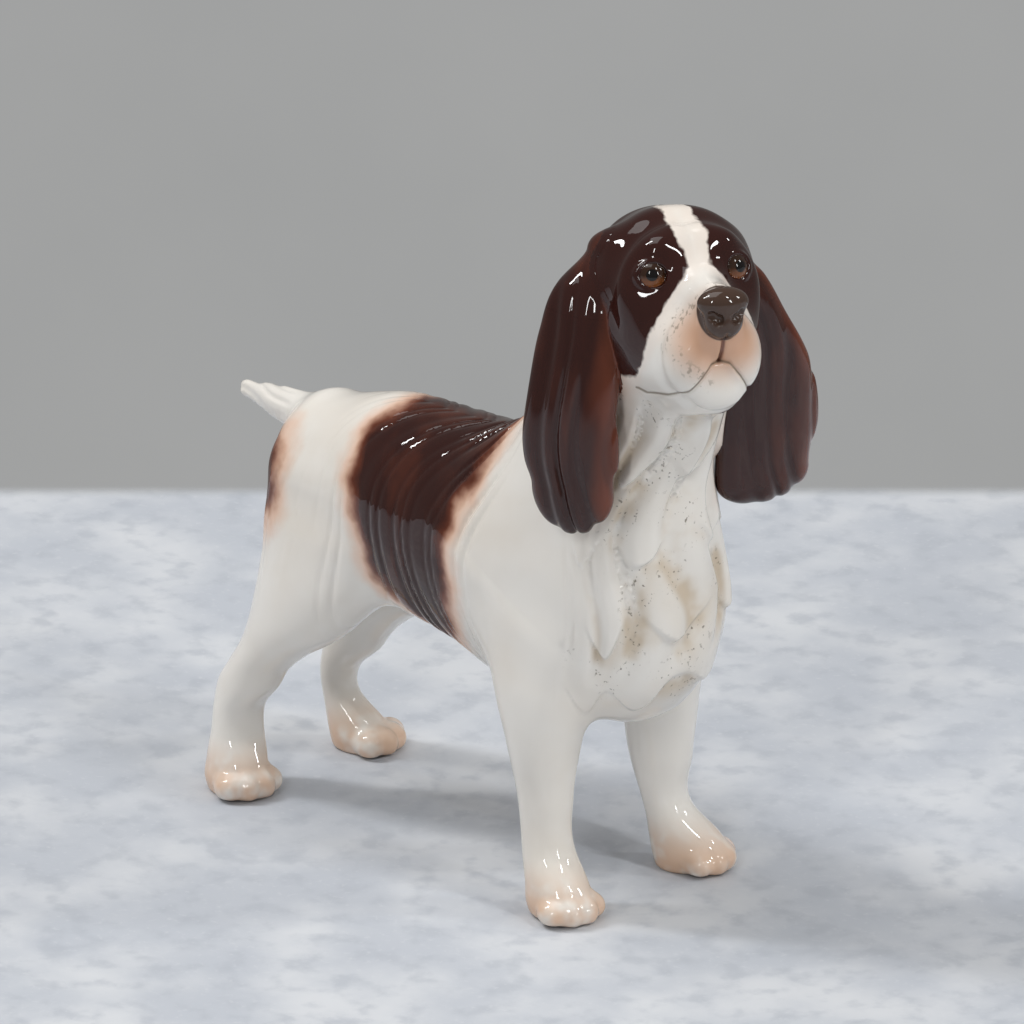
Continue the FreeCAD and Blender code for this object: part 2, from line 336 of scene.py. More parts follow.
neck_rows = [(np.dot(c, NECK_AXIS), np.dot(c, NECK_AHEAD), c[1], a, w) for c, a, w in NECK]
torso = Tube(TORSO, X, Y, Z, TORSO_CAPS)
neck = Tube(neck_rows, NECK_AXIS, NECK_AHEAD, Y, (4.0, 4.0))
tail = Tube([(-x, y, z, w, h) for x, y, z, w, h in TAIL], -X, Y, Z, TAIL_CAPS)
legs = {
    "foreleg_right": (column(FORELEG_RIGHT, -1), FORELEG_RIGHT, -1, FORE_SEAM),
    "foreleg_left": (column(FORELEG_LEFT, 1), FORELEG_LEFT, 1, FORE_SEAM),
    "hind_leg_right": (column(HIND_LEG_RIGHT, -1), HIND_LEG_RIGHT, -1, HIND_SEAM),
    "hind_leg_left": (column(HIND_LEG_LEFT, 1), HIND_LEG_LEFT, 1, HIND_SEAM),
}
ears = {
    "ear_right": ear_tube(EAR_RIGHT, EAR_CAPS["ear_right"]),
    "ear_left": ear_tube(EAR_LEFT, EAR_CAPS["ear_left"]),
}


def head_axes():
    cy, sy = math.cos(HEAD_YAW), math.sin(HEAD_YAW)
    cp, sp = math.cos(HEAD_PITCH), math.sin(HEAD_PITCH)
    ahead = np.array([cy * cp, sy * cp, sp])
    left = np.array([-sy, cy, 0.0])
    up = np.cross(ahead, left)
    c, s = math.cos(HEAD_ROLL), math.sin(HEAD_ROLL)
    return np.array([ahead, left * c + up * s, up * c - left * s])


HEAD_AXES = head_axes()
U, V, W = np.eye(3)
skull = Tube(SKULL, U, V, W, SKULL_CAPS)
bridge = Tube(BRIDGE, U, V, W, (4.0, 3.0))
flew = Tube(FLEW, U, V, W, (4.0, 5.6))
jaw = Tube(JAW, U, V, W, (5.0, 3.2))


def to_head(p):
    return (p - HEAD_CENTRE) @ HEAD_AXES.T


def head_shell(q):
    """Skull, muzzle and jaw without eyes and nose; the head is even about its own middle plane."""
    m = q.copy()
    m[:, 1] = np.abs(m[:, 1])
    flews = join(flew(m), flew(m * np.array([1, -1, 1])), 2.5)
    muzzle = join(bridge(q), flews, 3.0)
    muzzle = join(muzzle, jaw(q), 1.0)
    d = join(skull(q), muzzle, 5.0)
    d -= BROW_RISE * bump(np.linalg.norm(m - np.array(BROW), axis=1), 3.0)
    d += SOCKET_SINK * bump(np.linalg.norm(m - np.array(SOCKET), axis=1), 3.6)
    d += STOP_SINK * bump(near_line(m, STOP), 1.8)
    return d


def lip_gap(m):
    """How far a point of the muzzle is above the parting of the lips."""
    across, height = np.array(LIP).T
    return m[:, 2] - np.interp(m[:, 1], across, height)


def philtrum_gap(m):
    """Distance to the groove from the nose down to the lips."""
    off_end = np.maximum(m[:, 2] - PHILTRUM_TOP, PHILTRUM_END - m[:, 2])
    return np.hypot(m[:, 1], np.maximum(off_end, 0)) + np.maximum(PHILTRUM_BACK - m[:, 0], 0)


def seat(field, inner, direction, depth):
    """Point on a ray out of the head, depth short of where the ray leaves it."""
    direction = np.array(direction) / np.linalg.norm(direction)
    reach = np.linspace(0, 14, 600)
    points = np.array(inner) + reach[:, None] * direction
    return np.array(inner) + direction * (reach[np.argmax(field(points) > 0)] - depth)


EYE = seat(head_shell, EYE_INNER, EYE_AHEAD, EYE_DEPTH)
GAZE = np.array(GAZE) / np.linalg.norm(GAZE)
GAZE_SIDE = np.cross(W, GAZE) / np.linalg.norm(np.cross(W, GAZE))
GAZE_UP = np.cross(GAZE, GAZE_SIDE)


def eye_frame(q):
    """Along the gaze, outward in the eye's plane and up in it, for the nearer eye."""
    m = q.copy()
    m[:, 1] = np.abs(m[:, 1])
    r = m - EYE
    return r @ GAZE, r @ GAZE_SIDE, r @ GAZE_UP


def head_field(q):
    m = q.copy()
    m[:, 1] = np.abs(m[:, 1])
    d = head_shell(q)
    along, out, up = eye_frame(q)
    ball = np.sqrt(along**2 + out**2 + up**2) - EYE_RADIUS
    d = carve(d, -(np.sqrt((along - 0.5) ** 2 + (out / 1.1) ** 2 + up**2) - EYE_RADIUS), 0.5)
    lid = np.sqrt((out / 1.08) ** 2 + (up / np.where(up > 0, 0.90, 0.96)) ** 2)
    ring = np.sqrt((lid - LID_RADIUS) ** 2 + ((along - LID_AHEAD) / 1.2) ** 2) - LID_THICK
    d = join(d, ring, 0.8)
    d = np.minimum(d, ball)
    nose = join(ellipsoid(q, *NOSE_TOP), ellipsoid(q, *NOSE_BASE), 1.6)
    d = join(d, nose, 0.5)
    for centre, radius in NOSTRIL:
        d = carve(d, radius - np.linalg.norm(m - np.array(centre), axis=1), 0.5)
    back = np.clip((q[:, 0] - LIP_BACK) / 2.0, 0, 1)
    d += MOUTH_DEPTH * back * bump(lip_gap(m), GROOVE_WIDTH)
    d += PHILTRUM_DEPTH * bump(philtrum_gap(m), GROOVE_WIDTH)
    return d


def body_field(p):
    d = join(torso(p), neck(p), 7.0)
    for tube, stations, side, _ in legs.values():
        leg = tube(p)
        _, x, y, _, _, turn = stations[0]
        heading = math.radians(side * turn)
        ahead = np.array([math.cos(heading), math.sin(heading)])
        across = np.array([-math.sin(heading), math.cos(heading)])
        low = p[:, 2] < 14
        if low.any():
            toes = leg[low]
            for forward, sideways in TOES:
                centre = np.array([x, side * y]) + ahead * forward + across * sideways
                tall = 1.0 if forward > 4 else 0.9
                radii = TOE_RADIUS * np.array([1.1, 0.85, tall])
                toe = ellipsoid(p[low], (*centre, TOE_HEIGHT), radii)
                toes = join(toes, toe, 1.3)
            leg[low] = toes
        d = join(d, leg, 5.0)
    d = join(d, tail(p), 3.0)
    return carve(d, -p[:, 2], SOLE_ROUND)


def strand(phase):
    """Grooves, 1 deep, between broader locks, one per turn of phase."""
    return (0.5 + 0.5 * np.cos(phase)) ** 2


def window(value, low, high, soft):
    """1 between low and high, falling to 0 over soft outside."""
    return np.clip((value - low) / soft + 1, 0, 1) * np.clip((high - value) / soft + 1, 0, 1)


LOCK_WIDTH = 3.4  # of the combed locks on the flanks
LOCK_DEPTH = 0.40
FOLD_WIDTH = 4.8  # of the hanging folds on neck and chest
FOLD_DEPTH = 1.20
TUFT_WIDTH = 7.6  # of the pointed tufts that they end in
TUFT_PITCH = 14.0
TUFT_POINT = 6.0
TUFT_DEPTH = 1.45
TUFT_TOP = 98.0
TUFT_ROWS = 4
TAIL_LOCK_WIDTH = 3.2
TAIL_LOCK_DEPTH = 0.30
THIGH_LOCK_DEPTH = 0.12
EAR_LOCK_WIDTH = 4.8
EAR_LOCK_DEPTH = 0.60
EAR_WAVE_DEPTH = 0.22  # of the uneven waves over a whole flap
EAR_WAVE_WIDTH = 6.0
CHEST_WAVE_DEPTH = 0.32
CHEST_WAVE_WIDTH = 6.0
SKIN_REACH = 1.5  # how near the surface the relief is worked out


def flank_locks(p):
    """Grooves between the locks that sweep back from the spine and hang down the flanks."""
    x, y, z = p.T
    girth = 18.0 * np.arctan2(z - 56, np.abs(y) + 0.5)
    sweep = np.where(girth > 0, 0.017, 0.006) * girth**2
    along = x - sweep + 1.3 * np.sin(girth / 6.5 + x / 11.0)
    along = along + 1.6 * murmur(p, 19.0) + 0.4 * murmur(p, 8.0)
    phase = 2 * math.pi * along / LOCK_WIDTH
    broken = np.clip(0.75 + 0.5 * murmur(p + 40.0, 10.0), 0.25, 1.2)
    return strand(phase + 1.3 * np.sin(phase / 2.7)) * broken


def tufts(p):
    """Height, about 0 to 1, of the folds down the front of neck and chest and their pointed ends."""
    x, y, z = p.T
    middle = np.interp(z, [45.0, 70.0, 95.0], [31.0, 35.0, 44.0])
    across = 16.0 * np.arctan2(y + 1.5, x - middle + 2.0) + 1.9 * murmur(p, 17.0)
    z = z + 2.0 * murmur(p, 10.0)
    fold = strand(2 * math.pi * (across + 1.2 * np.sin(z / 5.0)) / FOLD_WIDTH)
    fold = fold * window(z, 52, 92, 8)
    height = np.zeros(len(p))
    for row in reversed(range(TUFT_ROWS)):
        root = TUFT_TOP - TUFT_PITCH * row
        off = 0.5 - 0.5 * np.cos(2 * math.pi * (across / TUFT_WIDTH + 0.5 * (row % 2)))
        tip = root - TUFT_PITCH - TUFT_POINT * (1 - off)
        cover = np.clip((z - tip) / 1.7, 0, 1)
        cover = cover * cover * (3 - 2 * cover)
        share = np.clip((root - z) / (TUFT_PITCH + TUFT_POINT), 0, 1)
        height += cover * (0.35 + 0.65 * share - 0.45 * off - height)
    return height - FOLD_DEPTH / TUFT_DEPTH * fold


def chest(p):
    """1 on the front of neck and chest, 0 elsewhere."""
    x, y, z = p.T
    turn = np.abs(np.arctan2(y + 1.0, x - 33.0))
    return window(turn, 0, 0.60, 0.55) * window(z, 42, 92, 7)


def relief(p):
    """Fur: how far the skin of the body is pushed in."""
    x, y, z = p.T
    lumps = 0.13 * murmur(p, 9.0) + 0.05 * murmur(p, 4.0)
    lumps += CHEST_WAVE_DEPTH * chest(p) * murmur(p, CHEST_WAVE_WIDTH)
    flank = window(x, -16, 18, 8) * window(z, 36, 80, 8) * (1 - chest(p))
    thigh = window(x, -60, -30, 5) * window(z, 42, 62, 6)
    plait = 2 * math.pi * (z + y + 0.3 * x + 0.5 * np.sin(x / 2.0)) / TAIL_LOCK_WIDTH
    tail_fur = TAIL_LOCK_DEPTH * window(x, -70, -44, 3) * window(z, 66, 110, 3) * strand(plait)
    locks = (LOCK_DEPTH * flank + THIGH_LOCK_DEPTH * thigh) * flank_locks(p) + tail_fur
    return lumps + locks + TUFT_DEPTH * chest(p) * (0.5 - tufts(p))


def ear_locks(name, p):
    """Grooves between the long wavy locks of an ear."""
    ka, _, _, column, _ = ears[name].locate(p)
    z = p[:, 2]
    place = ka * column[2] + 1.5 * np.sin(z / 6.0) + 1.2 * murmur(p, 12.0)
    phase = 2 * math.pi * place / EAR_LOCK_WIDTH + 1.2
    broken = np.clip(0.75 + 0.5 * murmur(p + 40.0, 11.0), 0.2, 1.2)
    return strand(phase + 1.2 * np.sin(phase / 2.6)) * broken


def ear_flap(name):
    def field(p):
        d = ears[name](p)
        near = np.abs(d) < SKIN_REACH
        z = p[near, 2]
        d[near] += EAR_LOCK_DEPTH * (ear_locks(name, p[near]) - 0.3) * window(z, 72, 112, 5)
        d[near] += EAR_WAVE_DEPTH * murmur(p[near], EAR_WAVE_WIDTH)
        return d

    return field


flaps = {name: ear_flap(name) for name in ears}


def skin(p, whole_ears=False):
    """Body, neck and head with the ear roots; with whole_ears, the flaps as well."""
    d = join(body_field(p), head_field(to_head(p)), 3.0)
    near = np.abs(d) < SKIN_REACH
    d[near] += relief(p[near])
    high = p[:, 2] > (66 if whole_ears else 100)
    if high.any():
        z = p[high, 2]
        part = d[high]
        for name, flap in flaps.items():
            seam = EAR_SEAM[name]
            e = flap(p[high])
            if not whole_ears:
                e = e + 1.5 * np.maximum(seam - z, 0)
            rise = np.clip((z - seam) / 8, 0, 1)
            part = join(part, e, 0.1 + ROOT_BLEND * rise * rise * (3 - 2 * rise))
        d[high] = part
    return d


def whole(p):
    return skin(p, True)


def gradient(field, p, h=0.06):
    """Slope of a field by central differences."""
    parts = [field(p + h * e) - field(p - h * e) for e in np.eye(3)]
    return np.stack(parts, 1) / (2 * h)


# ---- Meshing -----------------------------------------------------------------------------------

POINTS_AT_ONCE = 400000
DRAWS = 4  # rounds that draw the points onto the surface


def net(field, low, high, step):
    """Surface net of a field in a box, its points drawn onto the surface."""
    low, high = np.array(low, float), np.array(high, float)
    n = np.ceil((high - low) / step).astype(int) + 1
    axes = [low[i] + step * np.arange(n[i]) for i in range(3)]
    values = np.empty(n)
    yy, zz = np.meshgrid(axes[1], axes[2], indexing="ij")
    slab = max(1, POINTS_AT_ONCE // yy.size)
    for i in range(0, n[0], slab):
        xs = axes[0][i : i + slab]
        sides = [np.tile(grid.ravel(), len(xs)) for grid in (yy, zz)]
        p = np.stack([np.repeat(xs, yy.size), *sides], 1)
        values[i : i + slab] = field(p).reshape(len(xs), *yy.shape)
    crossings = []
    for axis in range(3):
        ea, eb = np.eye(3, dtype=int)[(axis + 1) % 3], np.eye(3, dtype=int)[(axis + 2) % 3]
        first = np.moveaxis(np.moveaxis(values, axis, 0)[:-1], 0, axis)
        second = np.moveaxis(np.moveaxis(values, axis, 0)[1:], 0, axis)
        at = np.argwhere((first < 0) != (second < 0))
        a, b = (axis + 1) % 3, (axis + 2) % 3
        at = at[(at[:, a] > 0) & (at[:, b] > 0) & (at[:, a] < n[a] - 1) & (at[:, b] < n[b] - 1)]
        v0, v1 = first[tuple(at.T)], second[tuple(at.T)]
        place = at + (v0 / (v0 - v1))[:, None] * np.eye(3)[axis]
        cells = np.stack([at - ea - eb, at - eb, at, at - ea], 1)
        cells[v0 >= 0] = cells[v0 >= 0][:, ::-1]
        crossings.append((cells, place))
    cells = np.concatenate([c for c, _ in crossings])
    places = np.concatenate([p for _, p in crossings])
    flat = np.ravel_multi_index(cells.reshape(-1, 3).T, tuple(n - 1))
    unique, index = np.unique(flat, return_inverse=True)
    points = np.zeros((len(unique), 3))
    np.add.at(points, index, np.repeat(places, 4, axis=0))
    points = low + step * points / np.bincount(index)[:, None]
    for _ in range(DRAWS):
        g = gradient(field, points)
        move = (field(points) / np.maximum((g * g).sum(1), 0.2))[:, None] * g
        points -= np.clip(move, -step / 2, step / 2)
    return points, index.reshape(-1, 4)


def open_mesh(points, quads):
    mesh = bmesh.new()
    made = [mesh.verts.new(p) for p in points]
    for q in quads:
        mesh.faces.new([made[i] for i in q])
    return mesh


def cut(mesh, origin, normal, inside):
    """Takes off what lies past a plane, among the faces that inside() picks, and closes the cut."""
    faces = [f for f in mesh.faces if inside(f.calc_center_median())]
    corners = {v for f in faces for v in f.verts}
    edges = {e for f in faces for e in f.edges}
    geometry = list(corners) + list(edges) + faces
    done = bmesh.ops.bisect_plane(
        mesh, geom=geometry, dist=1e-5, plane_co=origin, plane_no=normal, clear_outer=True
    )
    rim = [e for e in done["geom_cut"] if isinstance(e, bmesh.types.BMEdge)]
    filled = bmesh.ops.triangle_fill(
        mesh, use_beauty=True, use_dissolve=False, edges=rim, normal=normal
    )
    for f in filled["geom"]:
        if isinstance(f, bmesh.types.BMFace):
            f.material_index = 1
            if f.normal.dot(normal) < 0:
                f.normal_flip()


sole = next(m for m in frame["record"]["mounts"] if m["name"] == "sole_foreleg_right")
SHIFT = np.array(sole["pos_m"]) - np.array([*PAW_MARK, 0.0]) * MM


def finish_piece(name, mesh, material):
    """Blender object of a casting: row frame, smooth normals of the field, painted attributes."""
    data = bpy.data.meshes.new(name)
    mesh.to_mesh(data)
    mesh.free()
    count = len(data.vertices)
    p = np.empty(count * 3)
    data.vertices.foreach_get("co", p)
    p = p.reshape(-1, 3)
    normals = gradient(whole, p)
    normals /= np.linalg.norm(normals, axis=1, keepdims=True)
    for key, value in paint(p).items():
        layer = data.attributes.new(key, "FLOAT", "POINT")
        layer.data.foreach_set("value", value.astype(np.float32))
    data.vertices.foreach_set("co", (p * MM + SHIFT).ravel())
    corners = np.empty(len(data.loops), int)
    data.loops.foreach_get("vertex_index", corners)
    split = normals[corners]
    for f in data.polygons:
        if f.material_index == 1:
            split[f.loop_start : f.loop_start + f.loop_total] = f.normal
            f.material_index = 0
    data.polygons.foreach_set("use_smooth", np.ones(len(data.polygons), bool))
    data.update()
    data.normals_split_custom_set(split)
    data.materials.append(material)
    piece = bpy.data.objects.new(name, data)
    bpy.context.scene.collection.objects.link(piece)
    return piece


# ---- Paint: attributes that the glaze materials read, all in millimetres -------------------------

SADDLE = [  # the flank patch, as x and height on the right flank
    (-9.0, 82.0), (-15.5, 70.5), (-15.0, 63.5), (-11.5, 57.0), (-9.5, 50.5), (-5.5, 45.0),
    (-1.5, 40.5), (3.5, 36.5), (7.0, 39.0), (10.5, 40.5), (13.0, 46.0), (14.0, 53.0), (12.5, 60.0),
    (14.5, 67.0), (19.0, 82.0),
]

RUMP_PATCH = (-40.0, -10.5, 57.0)
RUMP_RADIUS = 5.8
BLAZE = [  # white stripe of the face: place from the crown down to the lips, half width
    (-8, 2.6), (0, 2.8), (7, 2.1), (11, 2.0), (14, 3.8),
    (17.5, 6.9), (20.5, 9.0), (24, 10.2), (28, 16),
]
HEAD_BROWN_REACH = 15.6  # below the head's centre
MUZZLE_TIP = (25.0, 0.0, -8.0)  # middle of the tan tint
EAR_PAINT = 0.35  # how far from a flap its brown reaches


def inside_outline(px, py, outline):
    """Distance to a closed outline in the plane, positive inside."""
    points = np.array(outline)
    best = np.full(len(px), 1e9)
    odd = np.zeros(len(px), bool)
    for (ax, ay), (bx, by) in zip(points, np.roll(points, -1, axis=0)):
        ex, ey = bx - ax, by - ay
        t = np.clip(((px - ax) * ex + (py - ay) * ey) / (ex**2 + ey**2), 0, 1)
        best = np.minimum(best, np.hypot(px - ax - t * ex, py - ay - t * ey))
        odd ^= ((ay > py) != (by > py)) & (px < ex * (py - ay) / (ey + 1e-12) + ax)
    return np.where(odd, best, -best)


def blaze(q):
    """Head markings: positive where brown."""
    half = np.interp(q[:, 0] - q[:, 2], *np.array(BLAZE).T)
    side = np.abs(q[:, 1])
    half = half - 5.0 * np.clip((-3.0 - q[:, 0]) / 6.0, 0, 1)
    nape = np.clip(-q[:, 0] / 6.0, 0, 1)
    low = q[:, 2] + HEAD_BROWN_REACH + nape * (1.5 * murmur(q, 8.0) + 2.0 - 0.5 * side)
    return np.minimum(side - half, low)


def paint(p):
    """Values at points of the skin; brown is positive inside the brown markings."""
    q = to_head(p)
    m = q.copy()
    m[:, 1] = np.abs(m[:, 1])
    along, out, up = eye_frame(q)
    flank = inside_outline(p[:, 0], p[:, 2], SADDLE)
    off_patch = (p - np.array(RUMP_PATCH)) * (1.0, 1.0, 0.75)
    rump = RUMP_RADIUS + 1.6 * murmur(p, 9.0) - np.linalg.norm(off_patch, axis=1)
    body = np.maximum(flank, rump)
    face = blaze(q)
    flap = np.minimum(flaps["ear_right"](p), flaps["ear_left"](p))
    brown = np.maximum(face, body)
    brown = np.where(flap < EAR_PAINT, 6.0, brown)
    nose = join(ellipsoid(q, *NOSE_TOP), ellipsoid(q, *NOSE_BASE), 4.0)
    right_ear = ears["ear_right"](p) < ears["ear_left"](p)
    ear_thin = np.where(right_ear, ear_locks("ear_right", p), ear_locks("ear_left", p))
    thin = np.where(flap < 0.6, ear_thin, flank_locks(p))
    rims = [np.where(ears[name](p) < 0.6, ears[name].locate(p)[0], 0.0) for name in ears]
    depth = np.where(p[:, 2] < 96, chest(p) * (0.8 - tufts(p)), 0.0)
    return {
        "brown": brown,
        "soft": np.where(flap < EAR_PAINT, 0.0, np.clip((98.5 - p[:, 2]) / 4.0, 0, 1)),
        "groove": np.where((p[:, 2] > 96) & (flap > 0.6), 0.5, thin),
        "rim": np.maximum(*rims),
        "recess": depth,
        "ear_gap": flap,
        "nose": nose,
        "mouth": np.where(q[:, 0] > LIP_BACK, lip_gap(m), 8.0),
        "philtrum": np.minimum(philtrum_gap(m), 8.0),
        "eye_out": np.clip(out, -6, 6),
        "eye_up": np.clip(up, -6, 6),
        "eye_ball": np.sqrt(along**2 + out**2 + up**2) - EYE_RADIUS,
        "lips": np.linalg.norm((q - np.array(MUZZLE_TIP)) / np.array([1.3, 1.3, 1.0]), axis=1),
    }


# ---- Materials ---------------------------------------------------------------------------------

class Nodes:
    """Short hand for wiring a material."""

    def __init__(self, name):
        self.material = bpy.data.materials.new(name)
        self.material.use_nodes = True
        self.tree = self.material.node_tree
        self.surface = self.tree.nodes["Principled BSDF"]

    def node(self, kind, **settings):
        made = self.tree.nodes.new(kind)
        for key, value in settings.items():
            setattr(made, key, value)
        return made

    def wire(self, source, target):
        self.tree.links.new(source, target)

    def attribute(self, name):
        return self.node("ShaderNodeAttribute", attribute_name=name).outputs["Fac"]

    def math(self, operation, a, b=0.0, c=0.0):
        made = self.node("ShaderNodeMath", operation=operation)
        for socket, value in zip(made.inputs, (a, b, c)):
            if isinstance(value, (int, float)):
                socket.default_value = value
            else:
                self.wire(value, socket)
        return made.outputs[0]

    def ramp(self, value, low, high):
        """0 at low, 1 at high, smooth between."""
        made = self.node("ShaderNodeMapRange", interpolation_type="SMOOTHSTEP")
        self.wire(value, made.inputs["Value"])
        made.inputs["From Min"].default_value = low
        made.inputs["From Max"].default_value = high
        return made.outputs["Result"]

    def mix(self, share, a, b):
        made = self.node("ShaderNodeMix", data_type="RGBA")
        for socket, value in ((made.inputs[0], share), (made.inputs[6], a), (made.inputs[7], b)):
            if isinstance(value, (int, float)):
                socket.default_value = value
            elif isinstance(value, tuple):
                socket.default_value = (*value, 1.0)
            else:
                self.wire(value, socket)
        return made.outputs[2]

    def noise(self, scale, detail=3.0, stretch=(1, 1, 1)):
        """Noise over the object's own millimetres; scale is features per millimetre."""
        place = self.node("ShaderNodeTexCoord").outputs["Object"]
        mapping = self.node("ShaderNodeMapping")
        mapping.inputs["Scale"].default_value = [s / MM for s in stretch]
        self.wire(place, mapping.inputs["Vector"])
        made = self.node("ShaderNodeTexNoise")
        made.inputs["Scale"].default_value = scale
        made.inputs["Detail"].default_value = detail
        self.wire(mapping.outputs["Vector"], made.inputs["Vector"])
        return made.outputs["Fac"]


WHITE = (0.82, 0.79, 0.74)
CREAM = (0.77, 0.72, 0.65)
LIVER = (0.030, 0.0075, 0.0055)
RUST = (0.20, 0.050, 0.022)
PEACH = (0.74, 0.40, 0.24)
TOE_TAN = (0.68, 0.42, 0.26)
# ochre of the chest-fold recesses: partly stain, partly painted shade
OCHRE_STAIN_AND_SHADE = (0.50, 0.36, 0.20)
GRIME = (0.16, 0.13, 0.09)
PINK = (0.56, 0.37, 0.27)
MUZZLE_TAN = (0.60, 0.36, 0.24)
NOSE_BROWN = (0.060, 0.034, 0.024)
STAIN = (0.16, 0.12, 0.07)
PARTING = (0.12, 0.03, 0.02)
PUPIL = (0.004, 0.003, 0.003)
IRIS_DARK = (0.030, 0.013, 0.007)
IRIS_AMBER = (0.19, 0.060, 0.015)
EYE_RIM = (0.02, 0.01, 0.008)


def glaze(name):
    n = Nodes(name)
    s = n.surface
    s.inputs["Roughness"].default_value = 0.6
    s.inputs["Specular IOR Level"].default_value = 0.0
    s.inputs["Coat Weight"].default_value = 1.0
    s.inputs["Coat Roughness"].default_value = 0.03
    s.inputs["Coat IOR"].default_value = 1.5
    return n


def painted():
    n = glaze("painted_glaze")
    soft = n.attribute("soft")
    ragged = n.math("MULTIPLY", n.math("SUBTRACT", n.noise(0.45, 2.0), 0.5), 2.0)
    brushed = n.math("MULTIPLY", n.math("SUBTRACT", n.noise(0.16, 3.0), 0.5), 5.0)
    ragged = n.math("MULTIPLY", ragged, n.math("SUBTRACT", 1.0, n.math("MULTIPLY", soft, 0.7)))
    wander = n.math("ADD", ragged, n.math("MULTIPLY", soft, brushed))
    edge = n.math("ADD", n.attribute("brown"), wander)
    mottling = n.noise(0.05, 3.0)
    white = n.mix(n.ramp(mottling, 0.35, 0.75), WHITE, CREAM)
    mist = n.math("ADD", n.math("MULTIPLY", soft, 0.62), 0.12)
    mist = n.math("MULTIPLY", n.ramp(edge, -5.0, 0.3), mist)
    white = n.mix(mist, white, PEACH)
    halo = n.math("MULTIPLY", n.ramp(n.attribute("ear_gap"), 4.0, 0.0), 0.45)
    white = n.mix(halo, white, PINK)
    height = n.node("ShaderNodeSeparateXYZ")
    n.wire(n.node("ShaderNodeTexCoord").outputs["Object"], height.inputs[0])
    low = n.ramp(height.outputs["Z"], 11.0 * MM, 1.5 * MM)
    low = n.math("MULTIPLY", low, n.ramp(n.noise(0.2, 2.0), 0.2, 0.55))
    white = n.mix(n.math("MULTIPLY", low, 0.8), white, TOE_TAN)
    away = n.attribute("lips")
    white = n.mix(n.ramp(away, 10.5, 3.5), white, MUZZLE_TAN)
    freckled = n.math("MULTIPLY", n.ramp(away, 10.5, 8.5), n.ramp(away, 5.5, 7.0))
    freckled = n.math("MULTIPLY", freckled, n.ramp(n.noise(0.15, 2.0), 0.45, 0.60))
    freckles = n.math("MULTIPLY", n.ramp(n.noise(1.0, 3.0), 0.54, 0.64), freckled)
    white = n.mix(n.math("MULTIPLY", freckles, 0.55), white, GRIME)
    recess = n.attribute("recess")
    # ochre tint in the deep recesses of the chest folds: partly stain, partly painted shade where
    # the folds are shaded
    ochre_stain_and_shade = n.math("MULTIPLY", n.ramp(recess, 0.25, 0.95), n.ramp(n.noise(0.10, 3.0), 0.40, 0.62))
    white = n.mix(n.math("MULTIPLY", ochre_stain_and_shade, 0.60), white, OCHRE_STAIN_AND_SHADE)
    specks = n.ramp(n.noise(1.3, 4.0), 0.60, 0.68)
    specks = n.math("MULTIPLY", specks, n.ramp(n.noise(0.12, 2.0), 0.50, 0.62))
    specks = n.math("MULTIPLY", specks, n.ramp(recess, 0.05, 0.6))
    white = n.mix(n.math("MULTIPLY", specks, 0.8), white, GRIME)
    streaks = n.ramp(n.noise(0.12, 3.0, (1.0, 1.0, 0.35)), 0.40, 0.70)
    thin = n.math("MULTIPLY", n.ramp(n.attribute("groove"), 0.55, 0.0), streaks)
    worn_rim = n.math("MULTIPLY", n.ramp(n.attribute("rim"), 0.5, 1.05), 0.5)
    thin = n.math("ADD", n.math("MULTIPLY", thin, 0.22), worn_rim)
    fading = n.math("MULTIPLY", n.ramp(edge, 3.4, 0.0), soft)
    thin = n.math("ADD", thin, n.math("MULTIPLY", fading, 0.8))
    brown = n.mix(n.math("MINIMUM", thin, 1.0), LIVER, RUST)
    sharpness = n.math("ADD", n.math("MULTIPLY", soft, 1.3), 0.4)
    colour = n.mix(n.ramp(n.math("DIVIDE", edge, sharpness), -1.0, 1.0), white, brown)
    line = n.math("MULTIPLY", n.ramp(n.math("ABSOLUTE", n.attribute("mouth")), 0.34, 0.08), 0.7)
    colour = n.mix(line, colour, STAIN)
    parting = n.math("MULTIPLY", n.ramp(n.attribute("philtrum"), 0.5, 0.15), 0.8)
    colour = n.mix(parting, colour, PARTING)
    colour = n.mix(n.ramp(n.attribute("nose"), 0.35, 0.05), colour, NOSE_BROWN)
    # eye: black pupil, amber iris that darkens upward, dark rim
    across, above = n.attribute("eye_out"), n.attribute("eye_up")
    square = n.math("MULTIPLY", above, above)
    iris = n.math("SQRT", n.math("MULTIPLY_ADD", across, across, square))
    amber = n.mix(n.ramp(above, 0.2, -1.6), IRIS_DARK, IRIS_AMBER)
    eye = n.mix(n.ramp(iris, 0.90, 1.10), PUPIL, amber)
    eye = n.mix(n.ramp(iris, 2.1, 2.35), eye, EYE_RIM)
    colour = n.mix(n.ramp(n.attribute("eye_ball"), 0.12, 0.04), colour, eye)
    n.wire(colour, n.surface.inputs["Base Color"])
    return n.material


skin_glaze = painted()

# ---- The castings --------------------------------------------------------------------------------


def place_piece(name, field, low, high, step, cuts):
    points, quads = net(field, low, high, step)
    mesh = open_mesh(points, quads)
    for origin, normal, inside in cuts:
        cut(mesh, origin, normal, inside)
    piece = finish_piece(name, mesh, skin_glaze)
    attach(piece, "root")
    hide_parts(name.removesuffix("_skin"))


def everywhere(c):
    return True


def level_cut(height, facing=Z, inside=everywhere):
    return [((0, 0, height), facing, inside)]


